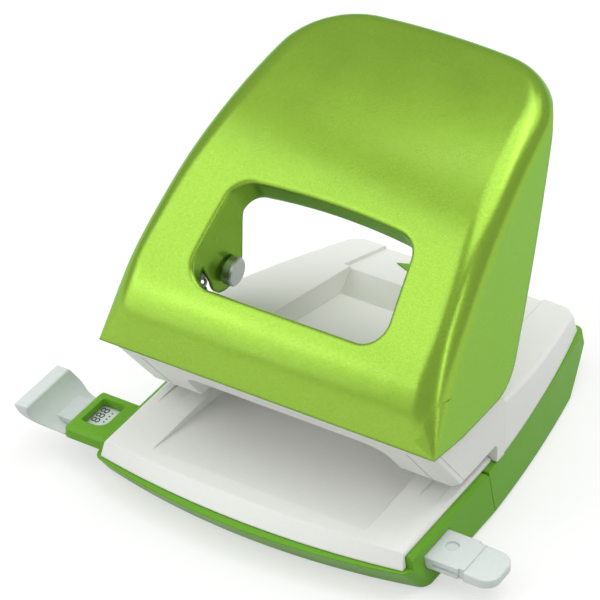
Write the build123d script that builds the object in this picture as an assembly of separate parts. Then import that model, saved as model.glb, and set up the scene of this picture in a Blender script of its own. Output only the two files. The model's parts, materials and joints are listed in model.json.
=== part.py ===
"""Desk hole punch for two holes, with a pressed steel lever, a moulded body and a paper guide.

Millimetres. X runs across the punch (+X is the user's right), Y runs from the paper side to the back,
Z is up. The origin lies on the table, midway between the two punch axes.
"""
from build123d import *
import math
import os

# Driving dimensions: the hole pattern and the paper slot
hole_spacing = 80.0
punch_diameter = 5.5
margin = 12.0
stroke = 8.0
deck_height = 14.2
slot_height = 5.0
running_gap = 0.05
part_gap = 0.2

# Driving dimensions: the lever
lever_half_width = 49.7
lever_draft = 3.0
lever_crown = 14.0
lever_length = 111.4
lever_tilt = 33.0
lever_sheet = 1.2
lever_bend = 7.0
lever_top_corner = 23.0
lever_foot = (-28.5, 41.5)
pivot_y = -20.0
pivot_z = 46.0
drive_pin_z = 55.0
window_half_low = 29.6
window_half_high = 26.8
window_low = 19.0
window_high = 48.6
window_corner = 7.0
window_round = 1.1
ear_radius = 6.7
flange_depth = 8.6

# Driving dimensions: the base and the covers
base_half_width = 49.9
base_side_lean = 2.4
base_front = -43.4
base_back = 80.0
base_wall = 2.0
base_floor = 1.6
foot_height = 0.8
split_height = 12.8
split_height_back = 10.6
tray_front = 7.0
body_step = 0.2
deck_step = 1.1
cover_wall = 1.8
fascia_thickness = 3.0
leg_inner_x = 30.5
recess_half_width = 32.5
recess_depth = 4.8
leg_front_y = -10.0
fascia_top = (-27.5, 41.0)
strip_height = 8.6
arch_corner = 6.0
shoulder_back_height = 16.6
shoulder_slope = 0.22
trough_depth = 7.3
trough_half_width = 26.0
rear_step = 1.0
latch_half = 18.0
latch_y = 73.2
latch_reach = 5.4

# Driving dimensions: the paper guide
rail_y = -21.7
rail_width = 13.0
rail_thickness = 3.2
rail_top = 9.6
rail_gap = 0.3
rail_overhang = 18.1
stop_gap = 0.7
stop_reach = 7.5
stop_width = 20.0
housing_reach = 10.4
housing_width = 18.8
housing_offset = -1.8
housing_top = 12.2
sight_gap = 0.5
strip_inset = 1.1

# Values worked out from the driving dimensions
beyond = 90.0
punch_x = hole_spacing / 2
base_top_half_width = base_half_width - base_side_lean
body_half_width = base_top_half_width - body_step
deck_half_width = body_half_width - deck_step
housing_left = -base_half_width - housing_reach
sight_right = -base_half_width - sight_gap
rail_start = housing_left - stop_gap
rail_end = base_half_width + rail_overhang
punch_radius = punch_diameter / 2
slot_top = deck_height + slot_height
backstop_y = margin
pin_radius = 2.5
drive_pin_gap = 0.3
punch_top = drive_pin_z - pin_radius - drive_pin_gap
punch_head = 2.3
punch_head_radius = 5.0
boss_drop = 0.7
punch_tip = slot_top - boss_drop + 0.2
frame_inner_x = recess_half_width + cover_wall + 0.3
frame_outer_x = body_half_width - cover_wall - 0.7
frame_low = 6.0
frame_arm = 3.0
guide_low = slot_top + 2.8
guide_high = 37.0
bush_radius = 4.2
spring_wire = 0.9
spring_radius = 4.0
spring_turns = 4.5
die_low = frame_low + frame_arm
die_high = deck_height - 2.0
low_edge = 9.5
ledge_height = 2.0
screw_x = punch_x + 2.5
screw_places = (-4.5, 5.0)
screw_radius = 1.25
screw_bite = 2.2
lug_thickness = 4.0
bracket_sheet = 2.0
hinge_y = -10.5
hinge_radius = 1.0
hinge_room = 3.2
hinge_z = foot_height + base_floor + 1.2
detent_leaf = 0.4
detent_leaf_y = rail_y - rail_width / 2 - 1.5 - detent_leaf
detent_places = [-10.0 - 10.0 * k for k in range(4)] + [8.0, 22.0, 38.0]


def at_yz(points):
    """Closed face through (y, z) points, lying in the YZ plane."""
    return Plane.YZ * make_face(Polyline(*points, close=True))


def along_x(face, low, high):
    """Prism of a YZ face between two x values."""
    return Pos(low, 0, 0) * extrude(face, amount=high - low, dir=(1, 0, 0))


def block(low, high):
    """Box between two corner points."""
    size = [b - a for a, b in zip(low, high)]
    centre = [(a + b) / 2 for a, b in zip(low, high)]
    return Pos(*centre) * Box(*size)


def rod(radius, start, end):
    """Cylinder of a radius from one point to another."""
    path = Vector(*end) - Vector(*start)
    return extrude(Plane(origin=start, z_dir=path) * Circle(radius), amount=path.length)


def both(piece):
    """The right-hand piece and its mirror image, as (left, right)."""
    return mirror(piece, Plane.YZ), piece


def save(node, shape):
    """Write one node as a STEP file."""
    shape.label = node
    export_step(shape, os.path.join("parts", node + ".step"))


# The lever: a curved panel whose sides and top are bent back

lever_curve = [
    lever_foot,
    (-26.6, 52.0),
    (-20.0, 63.0),
    (-8.0, 74.2),
    (4.0, 83.3),
    (20.0, 91.8),
    (40.0, 99.0),
    (lever_length - 45.9, 104.0),
    (lever_length - 31.4, 105.6),
]
lever_rim = [(120.0, 105.7), (lever_length - 59.9, 97.0)]
lever_heel = (13.6, 37.4)
far_back = [(90.0, 70.0), (60.0, 30.0), (0.0, 33.0)]
lever_plane = Plane(
    origin=(0, *lever_foot),
    x_dir=(1, 0, 0),
    z_dir=(0, -math.sin(math.radians(lever_tilt)), math.cos(math.radians(lever_tilt))),
)


def lever_profile(inset):
    """Spline of the panel in (y, z), moved inwards by inset."""
    outer = Spline(*lever_curve)
    if not inset:
        return outer
    foot = outer @ 0 - (outer % 0) * 6.0
    points = [(foot.X + inset, foot.Y)]
    for step in range(len(lever_curve) + 1):
        share = step / len(lever_curve)
        along = outer % share
        spot = outer @ share
        points.append((spot.X + along.Y * inset, spot.Y - along.X * inset))
    return Spline(*points)


def lever_outline(inset):
    """Outline of the lever seen square to its panel, moved inwards by inset."""
    half = lever_half_width - inset
    top = lever_length - inset
    corner_x = lever_half_width - 12.0 - inset
    corner_y = top - 3.0
    side_mid = ((half + corner_x) / 2 + 1.6, corner_y / 2)
    foot = -2 * lever_bend
    edges = [
        Line((half, foot), (half, 0)),
        ThreePointArc((half, 0), side_mid, (corner_x, corner_y)),
        ThreePointArc((corner_x, corner_y), (0, top), (-corner_x, corner_y)),
        ThreePointArc((-corner_x, corner_y), (-side_mid[0], side_mid[1]), (-half, 0)),
        Line((-half, 0), (-half, foot)),
        Line((-half, foot), (half, foot)),
    ]
    face = make_face(edges)
    corners = [v for v in face.vertices() if v.Y > corner_y - 1]
    return fillet(corners, lever_top_corner - inset)


def lever_block(inset):
    """Solid under the panel with sharp edges: the panel's prism cut to the drafted outline."""
    profile = lever_profile(inset)
    start = profile @ 0
    end = profile @ 1
    rim = Polyline((end.X, end.Y), *far_back, (start.X, start.Y))
    prism = along_x(Plane.YZ * make_face([profile, rim]), -beyond, beyond)
    lift = 40.0
    draw_in = (lift - lever_crown) * math.tan(math.radians(lever_draft))
    outline = lever_plane.offset(lift) * lever_outline(inset + draw_in)
    return prism & extrude(outline, amount=120, dir=-lever_plane.z_dir, taper=-lever_draft)


def lever_core(inset):
    """The solid under the panel with its bent edges rounded."""
    solid = lever_block(inset)
    panel = max(solid.faces(), key=lambda face: face.area if face.normal_at().Z > 0.3 else 0)
    bent = [e for e in panel.edges() if e.center().Z > lever_foot[1] + 2]
    return fillet(bent, lever_bend - inset)


def behind_lever():
    """Space behind and below the free edge of the lever's bent sides."""
    foot_y, foot_z = lever_foot
    trim = 0.06
    rise = 0.16
    face = make_face(Polyline(*lever_rim, lever_heel, (foot_y + 15, foot_z + trim - 15 * rise),
                              (foot_y - 20, foot_z + trim + 20 * rise), (foot_y - 20, 0), (120, 0),
                              close=True))
    face = fillet([v for v in face.vertices() if abs(v.X - lever_heel[0]) < 0.1], 13.0)
    face = fillet([v for v in face.vertices() if abs(v.X - lever_rim[1][0]) < 0.1], 8.0)
    return along_x(Plane.YZ * face, -beyond, beyond)


def lever_tip():
    """Right-hand lower corner of the lever, where the bend runs out to a point."""
    rise = 13.0
    sharp = lever_block(0) - behind_lever()
    corner = max(sharp.vertices(), key=lambda v: v.X - v.Y - v.Z)
    tip = sharp & block((corner.X - 9, corner.Y - 1, 0), (corner.X + 2, corner.Y + 11, corner.Z + rise))
    above = max(tip.vertices(), key=lambda v: v.X - v.Y + 2 * v.Z)
    bend_edge = Vector(*above) - Vector(*corner)
    planes = 8
    for step in range(1, planes + 1):
        turn = math.radians(90 * step / (planes + 1))
        outward = Vector(math.sin(turn), -math.cos(turn), 0)
        across = Vector(math.cos(turn), math.sin(turn), 0)
        draw_in = 1.1 * lever_bend * (math.sin(turn) + math.cos(turn) - 1)
        slope = bend_edge - outward * draw_in
        cut = Plane(origin=Vector(*corner), x_dir=across, z_dir=slope.cross(across))
        tip &= extrude(cut * Rectangle(90, 90), amount=40)
    return tip


def window_outline(grow):
    """Outline of the window in the panel: a trapezoid with a bowed top and round corners."""
    low = window_low - grow
    high = window_high + grow
    half_low = window_half_low + grow
    half_high = window_half_high + grow
    edges = [
        Line((-half_low, low), (half_low, low)),
        Line((half_low, low), (half_high, high)),
        ThreePointArc((half_high, high), (0, high + 1.8), (-half_high, high)),
        Line((-half_high, high), (-half_low, low)),
    ]
    face = make_face(edges)
    return fillet(face.vertices(), window_corner + grow)


def make_lever():
    """Pressed lever with its window, the flange bent in round the window and two ears."""
    window = extrude(lever_plane * window_outline(0), amount=80, both=True)
    outer = lever_core(0) - behind_lever() - window
    panel = max(outer.faces(), key=lambda face: face.area if face.normal_at().Z > 0.3 else 0)
    outer = fillet(panel.inner_wires()[0].edges(), window_round)
    left_tip, right_tip = both(lever_tip())
    shell = outer + left_tip + right_tip - lever_core(lever_sheet)
    ring = extrude(lever_plane * (window_outline(lever_sheet) - window_outline(0)), amount=80, both=True)
    lug = Plane.YZ * (Pos(0, drive_pin_z) * Circle(ear_radius))
    tilt = math.radians(lever_tilt)
    flange_end = (4.2 + flange_depth * math.sin(tilt), 83.6 - flange_depth * math.cos(tilt))
    notch_y, notch_z = (-10.8, 61.7)
    notch_width = 5.6
    corner = (notch_y - notch_width * math.cos(tilt), notch_z - notch_width * math.sin(tilt))
    in_front = 20.0
    ear = at_yz([
        (16.0, 96.0),
        flange_end,
        (6.0, 70.5),
        (6.4, 62.0),
        (ear_radius, drive_pin_z),
        (-4.4, drive_pin_z - 5.0),
        (notch_y, notch_z),
        corner,
        (corner[0] - in_front * math.sin(tilt), corner[1] + in_front * math.cos(tilt)),
    ])
    reach = window_half_low + 2 * lever_sheet
    collar = ring & along_x(ear + lug, -reach, reach) & outer
    bores = rod(pin_radius, (-reach, 0, drive_pin_z), (reach, 0, drive_pin_z))
    return shell + collar - bores


def make_hinge_bracket():
    """Sheet bracket under the panel that turns on the pivot pin."""
    low = frame_inner_x + lug_thickness + part_gap
    tab = at_yz([
        (pivot_y - 10, pivot_z + 1),
        (pivot_y + 4.6, pivot_z + 1),
        (pivot_y + 3.0, pivot_z + 10),
        (-9.0, 70.0),
        (-16.0, 76.0),
        (pivot_y - 10, 66.0),
    ])
    eye = Plane.YZ * (Pos(pivot_y, pivot_z) * Circle(4.6))
    plate = along_x(tab + eye, low, low + bracket_sheet)
    seat = lever_core(lever_sheet)
    bore = rod(pin_radius + running_gap, (0, pivot_y, pivot_z), (beyond, pivot_y, pivot_z))
    return (plate & seat) - bore


def make_drive_pin():
    """Headed pin through an ear; its free end presses on the punch head."""
    ear_face = window_half_low - 1.9
    head = rod(4.0, (ear_face - 2.6, 0, drive_pin_z), (ear_face, 0, drive_pin_z))
    head = chamfer(head.edges().group_by(Axis.X)[0], 0.4)
    shank = rod(pin_radius, (ear_face, 0, drive_pin_z), (punch_x + 4.0, 0, drive_pin_z))
    return head + shank


# The punches, their frames, guides, springs and dies

def make_frame():
    """C-shaped cast frame that ties the die to the punch guide and carries the pivot."""
    low_arm = block((frame_inner_x, -8.5, frame_low), (frame_outer_x, 24, die_low))
    spine = block((frame_inner_x, backstop_y + 2.0, frame_low), (frame_outer_x, 24, guide_high))
    high_arm = block((frame_inner_x, -6.0, guide_low), (frame_outer_x, 24, guide_high))
    lug_end = frame_inner_x + lug_thickness
    web_face = at_yz([(-6, 28), (8, 28), (8, guide_high), (pivot_y + 4, pivot_z + 1), (pivot_y - 2, 42.2)])
    web = along_x(web_face, frame_inner_x, lug_end)
    eye = rod(4.3, (frame_inner_x, pivot_y, pivot_z), (lug_end, pivot_y, pivot_z))
    frame = low_arm + spine + high_arm + web + eye
    frame -= rod(bush_radius, (punch_x, 0, guide_low), (punch_x, 0, guide_high))
    frame -= rod(pin_radius, (frame_inner_x, pivot_y, pivot_z), (lug_end, pivot_y, pivot_z))
    frame -= rod(punch_radius + 0.8, (punch_x, 0, frame_low), (punch_x, 0, die_low))
    clear = rod(spring_radius + 2.0, (punch_x, 0, guide_high), (punch_x, 0, guide_high + 12 + stroke))
    for y in screw_places:
        frame -= rod(screw_radius, (screw_x, y, frame_low), (screw_x, y, frame_low + screw_bite))
    roof = cover_wall + rear_step + part_gap
    slope = along_x(at_yz([(6.5, guide_high + 1), (backstop_y - 0.5, shoulder_height(backstop_y, roof)),
                           (25, shoulder_height(25, roof)), (25, guide_high + 1)]), 0, beyond)
    spine_back = 24.0
    corner = make_face(Polyline((frame_outer_x, backstop_y + 2), (frame_outer_x, spine_back + 1),
                                (frame_outer_x - 2.2, spine_back + 1), close=True))
    return frame - clear - slope - extrude(corner, amount=60)


def make_pivot_pin():
    """Headed pin held in the frame's eye."""
    low = frame_inner_x
    high = low + lug_thickness + part_gap + bracket_sheet + 1.6
    head = rod(3.8, (low - 1.6, pivot_y, pivot_z), (low, pivot_y, pivot_z))
    shank = rod(pin_radius, (low, pivot_y, pivot_z), (high, pivot_y, pivot_z))
    groove = high - 1.2
    neck = rod(pin_radius, (groove, pivot_y, pivot_z), (groove + 0.7, pivot_y, pivot_z))
    neck -= rod(pin_radius - 0.6, (groove, pivot_y, pivot_z), (groove + 0.7, pivot_y, pivot_z))
    return head + shank - neck


def make_pivot_clip():
    """Open retaining ring in the groove of the pivot pin."""
    low = frame_inner_x + lug_thickness + part_gap + bracket_sheet + 0.4
    ring = rod(4.0, (low, pivot_y, pivot_z), (low + 0.7, pivot_y, pivot_z))
    ring -= rod(pin_radius - 0.6, (low, pivot_y, pivot_z), (low + 0.7, pivot_y, pivot_z))
    mouth = block((low, pivot_y - 1.5, pivot_z - 5), (low + 0.7, pivot_y + 1.5, pivot_z))
    return ring - mouth


def make_punch():
    """Hardened punch with a spring head and a hollow-ground cutting tip."""
    shank = rod(punch_radius, (punch_x, 0, punch_tip), (punch_x, 0, punch_top))
    head = rod(punch_head_radius, (punch_x, 0, punch_top - punch_head), (punch_x, 0, punch_top))
    head = chamfer(head.edges().group_by(Axis.Z)[-1], 0.4)
    grind = along_x(at_yz([(-3, punch_tip - 1), (3, punch_tip - 1), (0, punch_tip + 1.6)]),
                    punch_x - 4, punch_x + 4)
    return shank + head - grind


def make_guide_bush():
    """Sleeve in the frame that guides the punch."""
    outer = rod(bush_radius, (punch_x, 0, guide_low), (punch_x, 0, guide_high))
    return outer - rod(punch_radius + running_gap, (punch_x, 0, guide_low), (punch_x, 0, guide_high))


def make_spring():
    """Coil spring between the guide and the punch head."""
    length = punch_top - punch_head - guide_high - spring_wire - 0.1
    path = Helix(pitch=length / spring_turns, height=length, radius=spring_radius)
    section = Plane(origin=path @ 0, z_dir=path % 0) * Circle(spring_wire / 2)
    coil = sweep(section, path=path)
    return Pos(punch_x, 0, guide_high + spring_wire / 2 + 0.05) * coil


def make_die():
    """Hardened die under the deck."""
    plate = block((frame_inner_x, -7, die_low), (frame_outer_x, 7, die_high))
    return plate - rod(punch_radius + running_gap, (punch_x, 0, die_low), (punch_x, 0, die_high))


def make_frame_screws():
    """Four screws that hold the frames on the ledges of the guide housing."""
    low = frame_low - ledge_height
    screws = []
    for side in (-1, 1):
        for y in screw_places:
            x = side * screw_x
            head = rod(2.3, (x, y, low - 1.3), (x, y, low))
            head -= block((x - 2.6, y - 0.3, low - 1.3), (x + 2.6, y + 0.3, low - 0.7))
            screws.append(head + rod(screw_radius, (x, y, low), (x, y, frame_low + screw_bite)))
    return Compound(screws)


# The white deck and covers

def bowed_face(half, corner, bow, back, z):
    """Plan outline with a bowed front edge, straight sides and a straight back, at a height."""
    front = ThreePointArc((-half, corner), (0, bow), (half, corner))
    rest = Polyline((half, corner), (half, back), (-half, back), (-half, corner))
    return Pos(0, 0, z) * make_face([front, rest])


def make_deck():
    """Paper deck with a sloping front edge, a thumb recess and marks at the hole axes."""
    half = deck_half_width
    back = backstop_y - 0.6
    crease = bowed_face(half - 0.6, -34.6, -37.0, back, deck_height)
    lower = bowed_face(half, -36.0, -40.4, back, low_edge)
    deck = loft([lower, crease], ruled=True)
    edge = deck.edges().filter_by(lambda e: abs(e.center().X) > half - 1 and e.length > 40)
    deck = fillet([e for e in edge if e.center().Z > deck_height - 0.5], 1.0)
    inside = base_top_half_width - base_wall - part_gap
    hollow = bowed_face(inside, -33.0, -37.0, back + 1, low_edge)
    deck -= extrude(hollow, amount=deck_height - 2.0 - low_edge, dir=(0, 0, 1))
    for side in (-1, 1):
        rim = side * inside
        far = side * beyond
        deck -= block((min(rim, far), -34.2, 0), (max(rim, far), 60, split_height + 0.1))
    slope = [(-31.6, deck_height), (back, deck_height - recess_depth)]
    tub_half = recess_half_width + cover_wall
    tub = at_yz([(-31.6, deck_height - 1.0), (back, deck_height - 1.0),
                 (back, deck_height - recess_depth - 2.0), (-31.6, deck_height - 2.0)])
    deck = deck + along_x(tub, -tub_half, tub_half)
    deck -= along_x(at_yz([*slope, (back + 1, deck_height - recess_depth), (back + 1, 40), (-31.6, 40)]),
                    -recess_half_width, recess_half_width)
    for side in (-1, 1):
        x = side * punch_x
        deck -= rod(punch_radius + 0.5, (x, 0, 0), (x, 0, 40))
        groove = at_yz([(-14.0, deck_height), (0, deck_height - 0.6), (0, deck_height + 1),
                        (-14.0, deck_height + 1)])
        deck -= along_x(groove, x - 2.6, x + 2.6)
    return deck


def front_line(z):
    """The y of the slanted front face of the fascia at a height."""
    share = (fascia_top[1] - z) / (fascia_top[1] - slot_top)
    return fascia_top[0] + share * (leg_front_y - fascia_top[0])


def slanted(depth, low, high):
    """YZ points of a slab behind the front face, between two heights."""
    return [
        (front_line(low), low),
        (front_line(low) + depth, low),
        (front_line(high) + depth, high),
        (front_line(high), high),
    ]


def fascia_depth():
    """Thickness of the slanted face measured along y."""
    return fascia_thickness / math.sin(math.atan2(fascia_top[1] - slot_top, leg_front_y - fascia_top[0]))


def make_fascia():
    """White front of the bridge: a slanted face on two legs, with an arched roof between them."""
    depth = fascia_depth()
    top = fascia_top[1]
    face = along_x(at_yz(slanted(depth, slot_top, top)), -body_half_width, body_half_width)
    corner_edges = [e for e in face.edges() if abs(e.center().X) > body_half_width - 0.1]
    front_edges = [e for e in corner_edges if abs(e.center().Y - front_line(e.center().Z)) < 0.1]
    face = chamfer([e for e in front_edges if e.length > 20], 1.6)
    arch_top = top - strip_height
    arch = block((-leg_inner_x, -60, 0), (leg_inner_x, 40, arch_top))
    arch = fillet([e for e in arch.edges().filter_by(Axis.Y) if e.center().Z > arch_top - 1], arch_corner)
    face -= arch
    roof_back = slot_top + 2.0
    roof = along_x(
        at_yz([
            (front_line(arch_top), arch_top),
            (backstop_y, roof_back),
            (backstop_y, roof_back + cover_wall),
            (front_line(arch_top), arch_top + cover_wall),
        ]),
        -leg_inner_x, leg_inner_x,
    )
    leg_side = along_x(
        at_yz([
            (front_line(slot_top), slot_top),
            (backstop_y, slot_top),
            (backstop_y, roof_back + cover_wall),
            (front_line(arch_top), arch_top + cover_wall),
        ]),
        leg_inner_x, leg_inner_x + cover_wall,
    )
    sole_high = slot_top + cover_wall
    sole = block((leg_inner_x, leg_front_y, slot_top),
                 (body_half_width - cover_wall - 0.1, backstop_y, sole_high))
    boss = rod(6.8, (punch_x, 0, slot_top - boss_drop), (punch_x, 0, slot_top))
    right_leg = leg_side + sole + boss - rod(punch_radius + 0.6, (punch_x, 0, 0), (punch_x, 0, 40))
    left_leg, right_leg = both(right_leg)
    fascia = face + roof + left_leg + right_leg
    groove_depth = 0.35
    line_half = 0.3
    for side in (-1, 1):
        x = side * punch_x
        mark = along_x(at_yz(slanted(groove_depth, slot_top, top - 4.0)), x - line_half, x + line_half)
        fascia -= mark
    return fascia


def shoulder_height(y, below=0.0):
    """Height of the sloping top of the rear cover at a y, less a depth."""
    return shoulder_back_height + shoulder_slope * (base_back - 1.3 - y) - below


def rear_outline(shrink, z, widths, front, back):
    """Plan outline of the rear cover at a height: curved sides that close in towards the back."""
    near, middle, far = [w - shrink for w in widths]
    back = back - shrink
    side = ThreePointArc((near, front), (middle, (front + back) / 2), (far, back - 2.5))
    other = ThreePointArc((-far, back - 2.5), (-middle, (front + back) / 2), (-near, front))
    rear = ThreePointArc((far - 2.5, back), (0, back + 1.2), (2.5 - far, back))
    corners = [Line((far, back - 2.5), (far - 2.5, back)), Line((2.5 - far, back), (-far, back - 2.5))]
    return Pos(0, 0, z) * make_face([side, other, rear, *corners, Line((-near, front), (near, front))])


def split_line(lift):
    """YZ points of the space above the split between the tray and the covers."""
    return [
        (-60, split_height + lift),
        (40, split_height + lift),
        (base_back + 8, split_height_back + lift),
        (base_back + 8, 90),
        (-60, 90),
    ]


def trough_space(grow):
    """The trough between the shoulders, with a ramp up to the rear deck, grown by a wall."""
    floor = trough_depth + grow
    space = at_yz([
        (10, shoulder_height(10, floor)),
        (55 + grow, shoulder_height(55 + grow, floor)),
        (61 + grow, shoulder_height(61 + grow, 1.0)),
        (61 + grow, 80),
        (10, 80),
    ])
    return along_x(space, -trough_half_width - grow, trough_half_width + grow)


def make_rear_cover():
    """White rear cover: shoulders and a trough between them, the bridge's side walls and the backstop."""
    front = backstop_y
    low = split_height_back
    lower_widths = (body_half_width, body_half_width - 3.5, body_half_width - 9.9)
    upper_widths = (body_half_width - 0.4, body_half_width - 4.7, body_half_width - 13.9)
    outer = loft([rear_outline(0, low, lower_widths, front, base_back),
                  rear_outline(0, 30.0, upper_widths, front, base_back - 3.0)], ruled=True)
    inner_low = rear_outline(cover_wall, low - 1, lower_widths, front + cover_wall, base_back)
    inner_high = rear_outline(cover_wall, 29.0, upper_widths, front + cover_wall, base_back - 3.0)
    inner = loft([inner_low, inner_high], ruled=True)
    above = [(0, shoulder_height(0)), (120, shoulder_height(120)), (120, 120), (0, 120)]
    shell = outer - along_x(at_yz(above), -beyond, beyond)
    top_edges = [e for e in shell.edges() if e.center().Z > shoulder_height(e.center().Y) - 0.1]
    shell = fillet([e for e in top_edges if abs(e.center().X) > 30], 1.2)
    shell -= trough_space(0)
    step = Plane.XY * make_face(Polyline((-28, 60.5), (28, 60.5), (24, 90), (-24, 90), close=True))
    step_space = along_x(at_yz([
        (60, shoulder_height(60, rear_step)),
        (90, shoulder_height(90, rear_step)),
        (90, 60),
        (60, 60),
    ]), -30, 30)
    shell -= step_space & extrude(step, amount=80)
    roof = cover_wall + rear_step
    below = [(0, shoulder_height(0, roof)), (120, shoulder_height(120, roof)), (120, -20), (0, -20)]
    hollow = inner & along_x(at_yz(below), -beyond, beyond)
    shell -= hollow - trough_space(cover_wall)
    shell -= latch_well(part_gap)
    doorway = block((frame_inner_x - part_gap, front - 1, guide_low - part_gap),
                    (frame_outer_x + part_gap, front + 2.5, shoulder_height(front, cover_wall)))
    for door in both(doorway):
        shell -= door
    fascia_back = fascia_depth() + running_gap
    side_top = fascia_top[1] - 0.4
    slot_round = slot_height / 2 - 0.3
    wall_face = make_face(Polyline(
        (front_line(slot_top) + fascia_back, slot_top),
        (backstop_y, slot_top),
        (backstop_y, split_height),
        (front + 4, split_height),
        (front + 4, shoulder_height(front + 4)),
        (4, side_top),
        (front_line(side_top) + fascia_back, side_top),
        close=True,
    ))
    slot_end = [v for v in wall_face.vertices() if abs(v.X - backstop_y) + abs(v.Y - slot_top) < 0.1]
    wall_face = Plane.YZ * fillet(slot_end, slot_round)
    wall = along_x(wall_face, body_half_width - cover_wall, body_half_width)
    left_wall, right_wall = both(wall)
    stop = block((part_gap - body_half_width, backstop_y, split_height + part_gap),
                 (body_half_width - part_gap, backstop_y + 1.6, slot_top + cover_wall))
    between_walls = base_top_half_width - base_wall - 1.2
    stop += block((-between_walls, backstop_y, die_low + part_gap),
                  (between_walls, backstop_y + 1.6, split_height + 1))
    cover = shell + left_wall + right_wall + stop
    return cover & along_x(at_yz(split_line(part_gap)), -beyond, beyond) + stop


# The release latch at the back of the chip tray

def latch_face(grow):
    """Pointed oval of the latch button, grown by a gap."""
    half = latch_half + 2 * grow
    reach = latch_reach + grow
    edges = [
        ThreePointArc((-half, 0), (0, -reach), (half, 0)),
        ThreePointArc((half, 0), (0, reach), (-half, 0)),
    ]
    return Pos(0, latch_y) * make_face(edges)


def latch_well(grow):
    """Upright hole for the latch button."""
    return extrude(latch_face(grow), amount=60)


def make_latch():
    """Sprung button that frees the chip tray."""
    low = split_height_back + part_gap
    cap = extrude(Pos(0, 0, low) * latch_face(0), amount=20)
    top = [(40, shoulder_height(40, 0.8)), (100, shoulder_height(100, 0.8)), (100, 60), (40, 60)]
    return cap - along_x(at_yz(top), -40, 40)


# The green base: a guide housing in front and a chip tray behind it

def side_at(z):
    """Half width of the base's sloping side at a height."""
    share = (z - foot_height) / (split_height - foot_height)
    return base_half_width + share * (base_top_half_width - base_half_width)


def make_sight():
    """Frame of the sight window beside the base, with a sleeve for the rail below it."""
    back = rail_y + housing_offset + housing_width / 2
    front = back - housing_width
    right = -side_at(split_height) + 0.9
    lip = block((housing_left, front, 8.6), (right, back, housing_top))
    upright = [e for e in lip.edges().filter_by(Axis.Z) if e.center().X < housing_left + 0.1]
    lip = fillet(upright, 1.6)
    front_edge = [e for e in lip.edges().filter_by(Axis.X) if e.center().Y < front + 0.1]
    lip = chamfer([e for e in front_edge if e.center().Z > housing_top - 0.1], 1.1)
    sleeve = block((housing_left, front + 3.5, 5.2), (right, back, 8.7))
    under = [e for e in sleeve.edges().filter_by(Axis.X) if e.center().Z < 5.3 and e.center().Y < rail_y]
    sleeve = chamfer(under, 1.1)
    sleeve = fillet([e for e in sleeve.edges().filter_by(Axis.Z) if e.center().X < housing_left + 0.1], 0.7)
    low_x = housing_left + 2.8
    low_y = front + 4.4
    high_y = back - 3.2
    view = make_face(Polyline((low_x, low_y), (sight_right, low_y), (sight_right, high_y), (low_x, high_y),
                              close=True))
    bowed = [v for v in view.vertices() if v.X > sight_right - 0.1 and v.Y < low_y + 0.1]
    view = fillet(bowed, 3.2)
    corners = [v for v in view.vertices() if v.X < low_x + 0.1 or v.Y > high_y - 0.1]
    view = fillet(corners, 0.9)
    return lip + sleeve - extrude(Pos(0, 0, rail_top - 1) * view, amount=10)


def make_guide_housing():
    """Front of the base with the rail channel, the sight window, ledges and hinge bosses."""
    floor = foot_height
    lower = bowed_face(base_half_width, -29.6, -36.2, tray_front, floor)
    upper = bowed_face(base_top_half_width, -39.4, base_front - 2.4, tray_front, split_height)
    shell = loft([lower, upper], ruled=True)
    side = base_top_half_width - 2.5
    corner = [e for e in shell.edges() if abs(e.center().X) > side and e.center().Y < -28]
    corner = [e for e in corner if 3 < e.center().Z < 10]
    shell = fillet(corner, 2.5)
    rim = [e for e in shell.edges() if abs(e.center().X) > side and e.center().Z > split_height - 0.1]
    shell = chamfer(rim, 0.9)
    shell -= block((-beyond, -60, low_edge - part_gap), (beyond, -34.0, 40))
    inner = bowed_face(side_at(2.4) - base_wall, -27.6, -34.0, tray_front + 1, floor + base_floor)
    inner_top = bowed_face(base_top_half_width - base_wall, -37.2, base_front, tray_front + 1, split_height)
    cavity = loft([inner, inner_top], ruled=True)
    shell -= cavity
    inside = side_at(4.0) - base_wall
    shell -= block((-inside, hinge_y - hinge_room, -1), (inside, 40, 4))
    shell -= block((-beyond, tray_front - 1.4, split_height - 1.4), (beyond, 40, 40)) - rod(
        1.4, (-beyond, tray_front - 1.4, split_height - 1.4), (beyond, tray_front - 1.4, split_height - 1.4))
    shell += make_sight()
    channel_half = rail_width / 2 + rail_gap
    shell -= block((-80, rail_y - channel_half, rail_top - rail_thickness - rail_gap),
                   (80, rail_y + channel_half, rail_top + rail_gap))
    into_wall = inside + 1.0
    ledge = block((punch_x - 1.0, hinge_y + 2.8, frame_low - ledge_height),
                  (into_wall, tray_front - 0.6, frame_low))
    for y in screw_places:
        ledge -= rod(screw_radius, (screw_x, y, 0), (screw_x, y, 20))
    rib = block((detent_places[0] - 13, detent_leaf_y - 1.6, floor),
                (detent_places[0] + 13, detent_leaf_y, rail_top - 0.2))
    shell += rib
    boss = block((punch_x + 1.0, hinge_y - hinge_room, foot_height),
                 (into_wall, hinge_y + 2.2, hinge_z + 2.2))
    boss -= rod(hinge_radius, (0, hinge_y, hinge_z), (inside, hinge_y, hinge_z))
    for piece in (ledge, boss):
        left, right = both(piece)
        shell += left + right
    return shell


def tray_outline(shrink, widths, z):
    """Plan outline of the chip tray at a height: sides that close in towards a slightly bowed back."""
    near, middle, far = [w - shrink for w in widths]
    back = base_back - shrink
    mid = (middle, (tray_front + back) / 2)
    edges = [
        ThreePointArc((near, tray_front + part_gap), mid, (far, back)),
        ThreePointArc((far, back), (0, back + 1.4), (-far, back)),
        ThreePointArc((-far, back), (-mid[0], mid[1]), (-near, tray_front + part_gap)),
        Line((-near, tray_front + part_gap), (near, tray_front + part_gap)),
    ]
    face = make_face(edges)
    return Pos(0, 0, z) * fillet([v for v in face.vertices() if v.Y > back - 5], 3.0 - shrink / 2)


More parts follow.
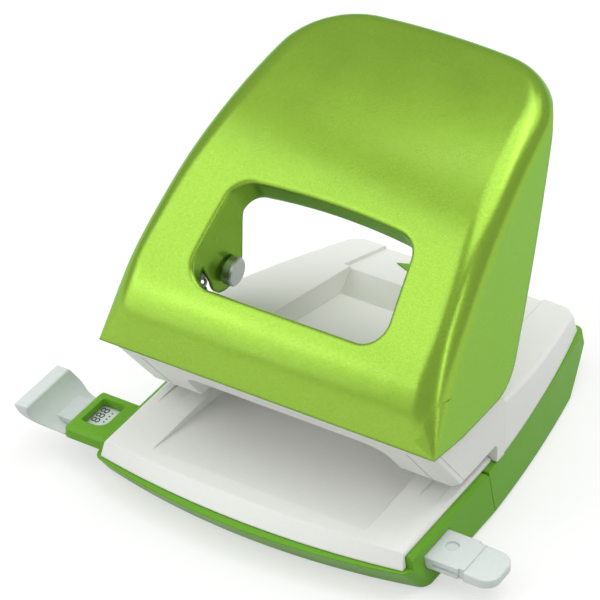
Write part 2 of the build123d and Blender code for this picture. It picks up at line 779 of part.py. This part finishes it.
def make_chip_tray():
    """Hinged tray that catches the paper chips; its tongue reaches forward under the dies."""
    heel = (61.5, foot_height)
    tail = (base_back + 2.0, 8.8)
    low_widths = (base_half_width, base_half_width - 3.3, base_half_width - 9.6)
    high_widths = (base_top_half_width, base_top_half_width - 3.5, base_top_half_width - 9.9)
    below_tail = [heel, tail, (base_back + 9, 8.8), (base_back + 9, -5), (heel[0], -5)]
    outer_low = tray_outline(0, low_widths, foot_height)
    outer = loft([outer_low, tray_outline(0, high_widths, split_height)], ruled=True)
    outer -= along_x(at_yz(below_tail), -beyond, beyond)
    lift = base_floor
    above_tail = [(heel[0], foot_height + lift), (tail[0], tail[1] + lift), (base_back + 9, 60), (-20, 60),
                  (-20, foot_height + lift)]
    inner_low = tray_outline(base_wall, low_widths, foot_height)
    inner = loft([inner_low, tray_outline(base_wall, high_widths, split_height)], ruled=True)
    opening = base_top_half_width - base_wall
    inner += block((-opening, 0, 0), (opening, tray_front + 2, 60))
    tray = outer - (inner & along_x(at_yz(above_tail), -beyond, beyond))
    half = punch_x + 0.6
    tongue = block((-half, hinge_y - 0.6, foot_height), (half, tray_front + 4, foot_height + base_floor))
    knuckle = rod(2.0, (-half, hinge_y, hinge_z), (half, hinge_y, hinge_z))
    neck = block((-half, hinge_y - 0.6, foot_height), (half, hinge_y + 1.6, hinge_z))
    tray += tongue + knuckle + neck
    tray -= along_x(at_yz(split_line(0)), -beyond, beyond)
    return tray - rod(hinge_radius + running_gap, (-beyond, hinge_y, hinge_z), (beyond, hinge_y, hinge_z))


def make_hinge_pin():
    """Steel rod on which the chip tray swings."""
    reach = side_at(4.0) - base_wall - part_gap
    return rod(hinge_radius, (-reach, hinge_y, hinge_z), (reach, hinge_y, hinge_z))


def make_front_feet():
    """Two rubber feet under the guide housing."""
    feet = []
    for side in (-1, 1):
        pad = rod(5.0, (side * 36, -22.5, 0), (side * 36, -22.5, foot_height))
        feet.append(pad)
    return Compound(feet)


def make_base_mat():
    """Rubber mat under the chip tray."""
    plan = RectangleRounded(72, 62, 6)
    return extrude(Pos(0, 25, 0) * plan, amount=foot_height)


# The paper guide: a rail that slides through the housing

def make_rail():
    """Guide rail with detent notches, a finger dimple and a stepped, rounded end."""
    low = rail_top - rail_thickness
    half = rail_width / 2
    rail = block((rail_start, rail_y - half, low), (rail_end, rail_y + half, rail_top))
    end_edges = [e for e in rail.edges().filter_by(Axis.Z) if e.center().X > 0]
    rail = fillet(end_edges, 4.2)
    step = rail_end - 8.5
    fall = Plane.XZ * make_face(Polyline((step, rail_top - 0.35), (rail_end + 1, rail_top - 0.9),
                                         (rail_end + 1, rail_top + 2), (step, rail_top + 2), close=True))
    rail -= extrude(fall, amount=60, both=True)
    rim = [e for e in rail.edges() if e.center().X > step + 1 and e.center().Z > low + 1.5]
    rail = fillet([e for e in rim if abs((e % 0.5).Z) < 0.2], 0.5)
    rail -= block((rail_start, rail_y - half + strip_inset, rail_top - 0.6),
                  (40, rail_y + half - strip_inset, rail_top + 1))
    rail -= Pos(base_half_width + 2.2, rail_y + 1.2, rail_top) * Cylinder(1.8, 1.2)
    for side in (-1, 1):
        edge = rail_y + side * half
        rail -= block((base_half_width + 0.6, edge - 0.5, low + 1.0), (step - 1.2, edge + 0.5, low + 1.7))
        rail -= block((step - 1.6, edge - 0.6, low), (step, edge + 0.6, rail_top + 1))
    for place in detent_places:
        notch = Pos(place, rail_y - half, (low + rail_top) / 2) * Cylinder(0.9, 10)
        rail -= notch
    return rail


def make_format_strip():
    """Printed strip in the top of the rail, seen through the sight window."""
    half = rail_width / 2 - strip_inset - 0.1
    return block((rail_start + 0.1, rail_y - half, rail_top - 0.6), (39.9, rail_y + half, rail_top - 0.1))


def make_stop():
    """Stop at the end of the rail: a blade swept up from the rail, which the paper edge rests against."""
    low = rail_top - rail_thickness
    face_top = rail_start - stop_reach
    tip = (face_top - 4.1, 17.4)
    heel = (rail_start - 2.8, low + 0.3)
    profile = make_face([
        Line((rail_start, low), (rail_start, rail_top - 1.6)),
        ThreePointArc((rail_start, rail_top - 1.6), (face_top + 1.7, 11.2), (face_top, 17.8)),
        Line((face_top, 17.8), tip),
        ThreePointArc(tip, (face_top - 0.6, 11.0), heel),
        Line(heel, (rail_start, low)),
    ])
    middle = rail_y - 5.8
    front = middle - stop_width / 2
    back = middle + stop_width / 2
    root = rail_y + rail_width / 2 + 1.2
    blade = extrude(Plane.XZ * profile, amount=60, both=True)
    flare = Plane.YZ * make_face([
        Spline((front, 19.0), (front + 0.3, 15.5), (front + 3.2, 10.8), (front + 8.4, 5.5)),
        Polyline((front + 8.4, 5.5), (root, 5.5), (root, rail_top)),
        Spline((root, rail_top), (root + 0.3, 11.5), (root - 0.8, 14.0), (back, 17.8), (back - 1.1, 19.0)),
        Line((back - 1.1, 19.0), (front, 19.0)),
    ])
    blade &= along_x(flare, -beyond, 0)
    pad = block((rail_start - 5.4, rail_y - 6.2, rail_top - 1), (rail_start, rail_y + 4.4, rail_top + 0.5))
    return fillet(blade.edges().group_by(Axis.Z)[-1], 0.6) + pad


def make_detent_spring():
    """Leaf spring in the housing that clicks into the rail's notches."""
    face = detent_leaf_y + detent_leaf
    place = detent_places[0]
    leaf = block((place - 12, detent_leaf_y, rail_top - 2.6), (place + 12, face, rail_top - 0.6))
    nose = Pos(place, face + 0.35, rail_top - 1.6) * Cylinder(0.75, 2.0)
    nose &= block((place - 2, face - 0.2, 0), (place + 2, face + 2, 40))
    return leaf + nose


def make_all():
    """Build every node and write it."""
    os.makedirs("parts", exist_ok=True)
    nodes = {
        "lever": make_lever(),
        "deck": make_deck(),
        "fascia": make_fascia(),
        "rear_cover": make_rear_cover(),
        "guide_housing": make_guide_housing(),
        "chip_tray": make_chip_tray(),
        "tray_hinge_pin": make_hinge_pin(),
        "tray_latch": make_latch(),
        "front_feet": make_front_feet(),
        "base_mat": make_base_mat(),
        "guide_rail": make_rail(),
        "format_strip": make_format_strip(),
        "guide_stop": make_stop(),
        "detent_spring": make_detent_spring(),
        "frame_screws": make_frame_screws(),
    }
    paired = {
        "hinge_bracket": make_hinge_bracket(),
        "drive_pin": make_drive_pin(),
        "punch_frame": make_frame(),
        "pivot_pin": make_pivot_pin(),
        "pivot_clip": make_pivot_clip(),
        "punch": make_punch(),
        "guide_bush": make_guide_bush(),
        "punch_spring": make_spring(),
        "die": make_die(),
    }
    for name, piece in paired.items():
        nodes[name + "_left"], nodes[name + "_right"] = both(piece)
    for name, shape in nodes.items():
        save(name, shape)


make_all()
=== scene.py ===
"""Finishes, printing, springs, floor, lights and camera for a desk hole punch.

All lengths are metres in the part's frame: +X to the user's right, +Y to the back, +Z up.
"""

import json
import logging
import math
from dataclasses import dataclass, field
from enum import Enum
from typing import Any, Dict, List, Optional, Tuple, Union

import bmesh
import bpy
from mathutils import Matrix, Vector


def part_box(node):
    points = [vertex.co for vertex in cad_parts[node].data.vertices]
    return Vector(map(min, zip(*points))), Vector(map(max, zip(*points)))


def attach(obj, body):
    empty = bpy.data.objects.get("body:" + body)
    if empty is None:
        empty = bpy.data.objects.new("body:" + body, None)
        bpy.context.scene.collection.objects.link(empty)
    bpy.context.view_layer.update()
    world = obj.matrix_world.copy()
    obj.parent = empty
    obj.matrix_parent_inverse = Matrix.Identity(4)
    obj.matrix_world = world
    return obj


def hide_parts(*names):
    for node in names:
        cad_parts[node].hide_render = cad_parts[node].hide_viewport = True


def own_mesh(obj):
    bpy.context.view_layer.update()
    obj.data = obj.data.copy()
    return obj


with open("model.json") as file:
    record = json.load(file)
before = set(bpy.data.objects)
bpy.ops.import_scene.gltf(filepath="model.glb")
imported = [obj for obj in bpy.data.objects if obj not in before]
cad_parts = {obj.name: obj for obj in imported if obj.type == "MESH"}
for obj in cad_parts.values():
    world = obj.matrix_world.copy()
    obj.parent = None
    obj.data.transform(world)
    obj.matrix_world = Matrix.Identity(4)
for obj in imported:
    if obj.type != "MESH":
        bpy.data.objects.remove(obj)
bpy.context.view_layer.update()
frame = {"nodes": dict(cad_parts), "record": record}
MM = 0.001

logging.basicConfig(level=logging.INFO, format="%(message)s")
log = logging.getLogger("hole_punch")

Colour = Tuple[float, float, float, float]
WHITE: Colour = (1.0, 1.0, 1.0, 1.0)
UP = Vector((0, 0, 1))

# Every finish is slightly glossier in some patches than in others, as handled surfaces are.
GLOSS_PATCH_MM = 14.0
GLOSS_SPREAD = 0.1
PATCH_LOW = 0.3
PATCH_HIGH = 0.7
# One unit of the wave texture holds 3.2 rings and spans six grain widths.
GRAINS_PER_WAVE_UNIT = 6
EDGE_SAMPLES = 6


def linear(hex_colour: str) -> Colour:
    """Turn an sRGB hex colour into linear light.

    Args:
        hex_colour: Six hex digits, such as "8cc63f".

    Returns:
        Red, green, blue and an alpha of one.
    """
    parts = [int(hex_colour[i:i + 2], 16) / 255 for i in (0, 2, 4)]
    light = [p / 12.92 if p <= 0.04045 else ((p + 0.055) / 1.055) ** 2.4 for p in parts]
    return light[0], light[1], light[2], 1.0


def add_node(tree: bpy.types.NodeTree, kind: str, inputs: Optional[Dict[Union[str, int], Any]] = None,
             **settings: Any) -> bpy.types.Node:
    """Add one node, set it up and fill its inputs.

    Args:
        tree: The node tree that gets the node.
        kind: The node's type name.
        inputs: Input name or number to an output socket, or to a plain value.
        settings: Attributes of the node itself.

    Returns:
        The new node.
    """
    node = tree.nodes.new(kind)
    for name, value in settings.items():
        setattr(node, name, value)
    for name, value in (inputs or {}).items():
        if isinstance(value, bpy.types.NodeSocket):
            tree.links.new(value, node.inputs[name])
        else:
            node.inputs[name].default_value = value
    return node


def add_object(name: str, data: bpy.types.ID) -> bpy.types.Object:
    """Put an object into the scene.

    Args:
        name: The object's name.
        data: The mesh, text, lamp or camera that it shows.

    Returns:
        The new object.
    """
    thing = bpy.data.objects.new(name, data)
    bpy.context.collection.objects.link(thing)
    return thing


def add_shape(name: str, shape: bmesh.types.BMesh) -> bpy.types.Object:
    """Put a finished shape into the scene and free it.

    Args:
        name: The name of the object and of its mesh.
        shape: The shape, which can't be used afterwards.

    Returns:
        The new object.
    """
    mesh = bpy.data.meshes.new(name)
    shape.to_mesh(mesh)
    shape.free()
    return add_object(name, mesh)


class Surface(Enum):
    """How a surface was made, which decides its pattern."""

    FLAKE_LACQUER = "flake lacquer"
    MOULDED = "moulded"
    FROSTED = "frosted"
    TURNED = "turned"
    CAST = "cast"
    PRINTED = "printed"
    RUBBER = "rubber"


@dataclass(frozen=True)
class Finish:
    """One real material: its colour, its gloss and the pattern its making left."""

    name: str
    surface: Surface
    colour: str
    second: str
    grain_mm: float
    roughness: float
    metallic: float = 0.0
    ior: float = 1.5
    coat: float = 0.0
    coat_roughness: float = 0.05
    transmission: float = 0.0
    bump: float = 0.0
    edge_mm: float = 0.0
    specular: float = 0.5
    glint: str = "ffffff"


# Sprayed metallic lacquer on pressed steel: aluminium flakes under a clear coat sparkle faintly.
# Real flakes are about 0.05 mm wide, drawn coarser here so that they show.
LEVER_LACQUER = Finish("flake_lacquer_green", Surface.FLAKE_LACQUER, "88b234", "96be42", 0.22, 0.25,
                       metallic=0.8, coat=0.35, coat_roughness=0.12, edge_mm=1.5, glint="8fd03c")
# Moulded ABS has a fine even texture that spreads the highlights, and softly rounded edges.
# The real texture is finer than a pixel, so it is drawn coarser here.
GREEN_ABS = Finish("moulded_abs_green", Surface.MOULDED, "66a427", "6eac2d", 0.8, 0.42,
                   bump=0.03, edge_mm=0.5, specular=0.2)
WHITE_ABS = Finish("moulded_abs_white", Surface.MOULDED, "f1f2ee", "ecede9", 0.9, 0.42,
                   bump=0.03, edge_mm=0.5, specular=0.4)
# Frosted polycarbonate lets light in and scatters it, so thick places look grey-green and edges white.
FROSTED_PC = Finish("frosted_polycarbonate", Surface.FROSTED, "e8efed", "dfe8e6", 1.5, 0.4,
                    ior=1.58, transmission=0.15, bump=0.02, edge_mm=0.4)
# Zinc-plated turned steel keeps fine rings from the tool, drawn coarser here so that they show.
PLATED_STEEL = Finish("zinc_plated_steel", Surface.TURNED, "c9cdce", "b2b7ba", 0.35, 0.38,
                      metallic=1.0, edge_mm=0.2)
# Ground tool steel is darker and shinier than plating, and its rings lie closer.
TOOL_STEEL = Finish("ground_tool_steel", Surface.TURNED, "9b9da0", "83868a", 0.25, 0.28,
                    metallic=1.0, edge_mm=0.2)
# Drawn spring steel is dark grey, with fine bands from the die.
SPRING_STEEL = Finish("drawn_spring_steel", Surface.TURNED, "8e9194", "74777b", 0.3, 0.34, metallic=1.0)
# Die-cast zinc is dull and slightly mottled from the mould.
CAST_ZINC = Finish("die_cast_zinc", Surface.CAST, "a3a6a8", "8d9193", 2.0, 0.48,
                   metallic=1.0, bump=0.05, edge_mm=0.3)
# A strip of matt film looks a little cloudy, and the dark ink on it is slightly uneven.
STRIP_FILM = Finish("matt_film", Surface.PRINTED, "e6ece9", "dde4e1", 2.0, 0.5)
STRIP_INK = Finish("printing_ink", Surface.PRINTED, "454c4b", "505857", 1.0, 0.6)
# Moulded rubber is dark and matt, with a slight bloom.
FOOT_RUBBER = Finish("moulded_rubber", Surface.RUBBER, "26282a", "303335", 1.2, 0.75,
                     bump=0.08, edge_mm=0.3)


@dataclass
class FinishBook:
    """Makes each finish's material once and hands it out."""

    made: Dict[str, bpy.types.Material] = field(default_factory=dict)

    def material(self, finish: Finish) -> bpy.types.Material:
        """Give the material of a finish, making it on first use.

        Args:
            finish: The finish asked for.

        Returns:
            The Blender material.
        """
        if finish.name not in self.made:
            self.made[finish.name] = self._make(finish)
        return self.made[finish.name]

    def _make(self, finish: Finish) -> bpy.types.Material:
        """Build the node tree of a finish.

        Args:
            finish: The finish to build.

        Returns:
            The new material.
        """
        material = bpy.data.materials.new(finish.name)
        material.use_nodes = True
        tree = material.node_tree
        tree.nodes.clear()
        place = add_node(tree, "ShaderNodeTexCoord").outputs["Object"]
        pattern = self._pattern(tree, finish, place)
        colour = add_node(tree, "ShaderNodeMix", {"Factor": pattern}, data_type="RGBA")
        colour.inputs["A"].default_value = linear(finish.colour)
        colour.inputs["B"].default_value = linear(finish.second)
        patches = add_node(tree, "ShaderNodeTexNoise", {
            "Vector": place, "Scale": 1 / (GLOSS_PATCH_MM * MM), "Detail": 2.0})
        rough = add_node(tree, "ShaderNodeMapRange", {
            "Value": patches.outputs["Fac"], "From Min": PATCH_LOW, "From Max": PATCH_HIGH,
            "To Min": finish.roughness * (1 - GLOSS_SPREAD),
            "To Max": finish.roughness * (1 + GLOSS_SPREAD)})
        shader = add_node(tree, "ShaderNodeBsdfPrincipled", {
            "Base Color": colour.outputs["Result"], "Roughness": rough.outputs["Result"],
            "Metallic": finish.metallic, "IOR": finish.ior, "Coat Weight": finish.coat,
            "Specular IOR Level": finish.specular, "Specular Tint": linear(finish.glint),
            "Coat Roughness": finish.coat_roughness, "Transmission Weight": finish.transmission})
        self._relief(tree, finish, pattern, shader)
        add_node(tree, "ShaderNodeOutputMaterial", {"Surface": shader.outputs["BSDF"]})
        return material

    def _pattern(self, tree: bpy.types.NodeTree, finish: Finish,
                 place: bpy.types.NodeSocket) -> bpy.types.NodeSocket:
        """Draw the flakes, rings or grain of a finish.

        Args:
            tree: The finish's node tree.
            finish: The finish to draw.
            place: Socket that gives the point on the piece.

        Returns:
            A socket between zero and one.
        """
        grains_per_metre = 1 / (finish.grain_mm * MM)
        if finish.surface is Surface.FLAKE_LACQUER:
            flakes = add_node(tree, "ShaderNodeTexVoronoi", {"Vector": place, "Scale": grains_per_metre})
            shares = add_node(tree, "ShaderNodeSeparateColor", {"Color": flakes.outputs["Color"]})
            return shares.outputs["Red"]
        if finish.surface is Surface.TURNED:
            rings = add_node(tree, "ShaderNodeTexWave", {
                "Vector": place, "Scale": grains_per_metre / GRAINS_PER_WAVE_UNIT,
                "Distortion": 2.0, "Detail": 2.0})
            return rings.outputs["Fac"]
        grain = add_node(tree, "ShaderNodeTexNoise", {
            "Vector": place, "Scale": grains_per_metre, "Detail": 3.0, "Roughness": 0.6})
        return grain.outputs["Fac"]

    def _relief(self, tree: bpy.types.NodeTree, finish: Finish, pattern: bpy.types.NodeSocket,
                shader: bpy.types.Node) -> None:
        """Round the edges for the light and lay the pattern's relief over them.

        Args:
            tree: The finish's node tree.
            finish: The finish to shape.
            pattern: Socket that gives the pattern's height.
            shader: The shader that takes the result.
        """
        normal = None
        if finish.edge_mm:
            edges = add_node(tree, "ShaderNodeBevel", {"Radius": finish.edge_mm * MM}, samples=EDGE_SAMPLES)
            normal = edges.outputs["Normal"]
            tree.links.new(normal, shader.inputs["Coat Normal"])
        if finish.bump:
            relief = add_node(tree, "ShaderNodeBump", {
                "Height": pattern, "Strength": finish.bump, "Distance": finish.grain_mm * MM})
            if normal:
                tree.links.new(normal, relief.inputs["Normal"])
            normal = relief.outputs["Normal"]
        if normal:
            tree.links.new(normal, shader.inputs["Normal"])


@dataclass
class CadPieces:
    """The CAD pieces and the finish that each one shows."""

    book: FinishBook
    finishes: Dict[str, Finish] = field(default_factory=lambda: {
        "lever_paint": LEVER_LACQUER,
        "green_plastic": GREEN_ABS,
        "white_plastic": WHITE_ABS,
        "frosted_plastic": FROSTED_PC,
        "strip_print": STRIP_FILM,
        "steel": PLATED_STEEL,
        "tool_steel": TOOL_STEEL,
        "spring_steel": SPRING_STEEL,
        "cast_zinc": CAST_ZINC,
        "rubber": FOOT_RUBBER,
    })

    def dress(self) -> List[bpy.types.Object]:
        """Give every CAD piece its finish.

        Returns:
            The dressed pieces.
        """
        pieces = []
        for row in frame["record"]["subparts"]:
            piece = frame["nodes"][row["node"]]
            finish = self.finishes[row["material_slot"]]
            piece.data.materials.clear()
            piece.data.materials.append(self.book.material(finish))
            pieces.append(piece)
        return pieces


@dataclass
class FormatPrint:
    """The format number and its row of dots, printed on the strip under the sight window."""

    book: FinishBook
    body: str = "paper_guide"
    slot: str = "strip_print"
    figures: str = "888"
    middle: Tuple[float, float] = (-56.0 * MM, -21.2 * MM)
    height: float = 2.5 * MM
    height_share: float = 0.7  # A figure's height as a share of the font's size.
    stretch: float = 1.3
    ink: float = 0.03 * MM
    dots: int = 4
    dot_sides: int = 20
    dot_radius: float = 0.28 * MM
    dot_pitch: float = 1.4 * MM
    dot_offset: float = 2.3 * MM

    def build(self) -> List[bpy.types.Object]:
        """Make the figures and the dots on top of the strip.

        Returns:
            The printed pieces.
        """
        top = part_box("format_strip")[1][2]
        pieces = [self._figures(top), self._dots(top)]
        for piece in pieces:
            self._dress(piece)
        return pieces

    def _dress(self, piece: bpy.types.Object) -> None:
        """Ink a piece and let it move with the guide.

        Args:
            piece: The printed piece.
        """
        piece.data.materials.append(self.book.material(STRIP_INK))
        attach(piece, self.body)

    def _figures(self, top: float) -> bpy.types.Object:
        """Make the figures as a mesh, read from the front to the back.

        Args:
            top: Height of the strip's top.

        Returns:
            The new object.
        """
        text = bpy.data.curves.new("figures_outline", "FONT")
        text.body = self.figures
        text.size = self.height / self.height_share
        text.extrude = self.ink / 2
        text.align_x = "CENTER"
        text.align_y = "CENTER"
        outline = add_object("figures_outline", text)
        bpy.context.view_layer.update()
        depsgraph = bpy.context.evaluated_depsgraph_get()
        mesh = bpy.data.meshes.new_from_object(outline.evaluated_get(depsgraph))
        bpy.data.objects.remove(outline)
        place = Matrix.Translation((*self.middle, top + self.ink / 2))
        quarter_turn = Matrix.Rotation(math.pi / 2, 4, "Z")
        mesh.transform(place @ quarter_turn @ Matrix.Diagonal((self.stretch, 1, 1, 1)))
        mesh.materials.clear()
        mesh.name = "format_figures"
        return add_object("format_figures", mesh)

    def _dots(self, top: float) -> bpy.types.Object:
        """Make the row of dots beside the figures.

        Args:
            top: Height of the strip's top.

        Returns:
            The new object.
        """
        shape = bmesh.new()
        for dot in range(self.dots):
            along = (dot - (self.dots - 1) / 2) * self.dot_pitch
            spot = (self.middle[0] + self.dot_offset, self.middle[1] + along, top + self.ink / 2)
            bmesh.ops.create_cone(shape, cap_ends=True, segments=self.dot_sides, radius1=self.dot_radius,
                                  radius2=self.dot_radius, depth=self.ink, matrix=Matrix.Translation(spot))
        return add_shape("format_dots", shape)


@dataclass
class PunchSpring:
    """A coil spring under a punch head, which closes up as its punch goes down."""

    book: FinishBook
    side: str
    turns: float = 4.5
    wire: float = 0.9 * MM
    steps_per_turn: int = 40
    wire_sides: int = 12

    def build(self) -> bpy.types.Object:
        """Wind the spring where its CAD coil lies, fix it to the base and hide the CAD coil.

        Returns:
            The wound spring.
        """
        node = f"punch_spring_{self.side}"
        low, high = (Vector(corner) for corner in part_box(node))
        foot = Vector(((low.x + high.x) / 2, (low.y + high.y) / 2, low.z))
        height = high.z - low.z
        piece = self._wind(foot, (high.y - low.y - self.wire) / 2, height)
        piece.data.materials.append(self.book.material(SPRING_STEEL))
        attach(piece, "base")
        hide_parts(node)
        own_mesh(piece)
        return piece

    def _wind(self, foot: Vector, radius: float, height: float) -> bpy.types.Object:
        """Sweep the round wire along the helix and close both ends.

        Args:
            foot: Middle of the spring's lower end.
            radius: Radius of the helix.
            height: Height of the whole spring.

        Returns:
            The new object.
        """
        steps = round(self.turns * self.steps_per_turn)
        rise = (height - self.wire) / steps
        shape = bmesh.new()
        rings = [self._ring(shape, foot, radius, rise, step) for step in range(steps + 1)]
        for here, there in zip(rings, rings[1:]):
            for spot in range(self.wire_sides):
                after = (spot + 1) % self.wire_sides
                shape.faces.new((here[spot], here[after], there[after], there[spot])).smooth = True
        shape.faces.new(reversed(rings[0]))
        shape.faces.new(rings[-1])
        bmesh.ops.recalc_face_normals(shape, faces=shape.faces)
        return add_shape(f"coil_{self.side}", shape)

    def _ring(self, shape: bmesh.types.BMesh, foot: Vector, radius: float, rise: float,
              step: int) -> List[bmesh.types.BMVert]:
        """Add the points round the wire at one step of the helix.

        Args:
            shape: The shape that gets the points.
            foot: Middle of the spring's lower end.
            radius: Radius of the helix.
            rise: Height gained in one step.
            step: Number of the step, from the lower end.

        Returns:
            The points in order round the wire.
        """
        hand = 1 if self.side == "right" else -1
        turn = hand * math.tau * step / self.steps_per_turn
        outward = Vector((hand * math.cos(turn), hand * math.sin(turn), 0))
        forward = Vector((-outward.y, outward.x, 0)) * hand * math.tau * radius / self.steps_per_turn
        upward = outward.cross((forward + UP * rise).normalized())
        middle = foot + outward * radius + UP * (self.wire / 2 + rise * step)
        ring = []
        for spot in range(self.wire_sides):
            angle = math.tau * spot / self.wire_sides
            spoke = outward * math.cos(angle) + upward * math.sin(angle)
            ring.append(shape.verts.new(middle + spoke * self.wire / 2))
        return ring


@dataclass(frozen=True)
class Softbox:
    """A rectangular lamp that faces the punch."""

    name: str
    place: Tuple[float, float, float]
    size: Tuple[float, float]
    watts: float


@dataclass
class Studio:
    """White floor, soft lamps and the camera of the photograph.

    Angles are in degrees, the lens and the sensor in millimetres.
    """

    azimuth: float = 31.1
    elevation: float = 35.52
    distance: float = 916.6 * MM
    lens: float = 210.0
    sensor: float = 36.0
    sight: float = 50.0
    aim: Vector = field(default_factory=lambda: Vector((-7.57, 2.5, 51.1)) * MM)
    floor_half: float = 6.0
    floor_drop: float = 0.2 * MM
    floor_colour: str = "b4b4b3"
    floor_roughness: float = 0.9
    floor_glow: float = 0.55
    sky: float = 0.54
    softboxes: Tuple[Softbox, ...] = (
        Softbox("key_box", (-0.82, -0.68, 1.12), (1.5, 1.4), 8.8),
        Softbox("low_box", (-0.9, -1.1, 0.42), (0.9, 0.6), 2.2),
        Softbox("right_strip", (1.0, -0.3, 0.55), (0.1, 0.9), 1.2),
        Softbox("top_box", (0.18, 0.35, 1.3), (1.3, 1.1), 6.8),
        Softbox("back_box", (0.5, 0.95, 1.3), (0.9, 0.9), 3.0),
    )

    def build(self) -> None:
        """Make the floor, the world, the lamps and the camera."""
        self._floor()
        self._world()
        self._lamps()
        self._camera()
        bpy.context.scene.view_settings.view_transform = "Standard"

    def _shown(self, tree: bpy.types.NodeTree) -> bpy.types.NodeSocket:
        """Tell the rays that show the floor from those that only light the scene.

        Args:
            tree: The floor's node tree.

        Returns:
            A socket that is one for camera, glossy and transmission rays.
        """
        path = add_node(tree, "ShaderNodeLightPath")
        mirror = add_node(tree, "ShaderNodeMath", {
            0: path.outputs["Is Glossy Ray"], 1: path.outputs["Is Transmission Ray"]}, operation="MAXIMUM")
        every = add_node(tree, "ShaderNodeMath", {
            0: path.outputs["Is Camera Ray"], 1: mirror.outputs["Value"]}, operation="MAXIMUM")
        return every.outputs["Value"]

    def _floor(self) -> None:
        """Lay the white floor just under the feet."""
        half = self.floor_half
        corners = [(-half, -half, 0), (half, -half, 0), (half, half, 0), (-half, half, 0)]
        mesh = bpy.data.meshes.new("floor")
        mesh.from_pydata(corners, [], [(0, 1, 2, 3)])
        floor = add_object("floor", mesh)
        floor.location.z = -self.floor_drop
        material = bpy.data.materials.new("white_paper_sweep")
        material.use_nodes = True
        tree = material.node_tree
        shader = tree.nodes["Principled BSDF"]
        shader.inputs["Base Color"].default_value = linear(self.floor_colour)
        shader.inputs["Roughness"].default_value = self.floor_roughness
        shader.inputs["Emission Color"].default_value = WHITE
        glow = add_node(tree, "ShaderNodeMath", {0: self._shown(tree), 1: self.floor_glow},
                        operation="MULTIPLY")
        tree.links.new(glow.outputs["Value"], shader.inputs["Emission Strength"])
        mesh.materials.append(material)

    def _world(self) -> None:
        """Light the scene evenly from all sides."""
        world = bpy.data.worlds.new("studio")
        bpy.context.scene.world = world
        world.use_nodes = True
        tree = world.node_tree
        tree.nodes.clear()
        sky = add_node(tree, "ShaderNodeBackground", {"Color": WHITE, "Strength": self.sky})
        add_node(tree, "ShaderNodeOutputWorld", {"Surface": sky.outputs["Background"]})

    def _lamps(self) -> None:
        """Hang the softboxes."""
        for box in self.softboxes:
            light = bpy.data.lights.new(box.name, "AREA")
            light.shape = "RECTANGLE"
            light.size, light.size_y = box.size
            light.energy = box.watts
            lamp = add_object(box.name, light)
            lamp.location = box.place
            lamp.rotation_euler = (self.aim - Vector(box.place)).to_track_quat("-Z", "Y").to_euler()

    def _camera(self) -> None:
        """Set the camera where the photograph was taken."""
        turn = math.radians(self.azimuth)
        rise = math.radians(self.elevation)
        ahead = Vector((-math.sin(turn) * math.cos(rise), math.cos(turn) * math.cos(rise), -math.sin(rise)))
        data = bpy.data.cameras.new("photo_camera")
        data.lens = self.lens
        data.sensor_width = self.sensor
        data.clip_end = self.sight
        camera = add_object("photo_camera", data)
        camera.location = self.aim - ahead * self.distance
        camera.rotation_euler = ahead.to_track_quat("-Z", "Y").to_euler()
        bpy.context.scene.camera = camera


def main() -> None:
    """Dress the punch, set up the studio and report each piece with its material."""
    book = FinishBook()
    pieces = CadPieces(book).dress()
    pieces += FormatPrint(book).build()
    for side in ("left", "right"):
        pieces.append(PunchSpring(book, side).build())
    Studio().build()
    for piece in pieces:
        log.info("%s: %s", piece.name, piece.data.materials[0].name)


if __name__ == "__main__":
    main()
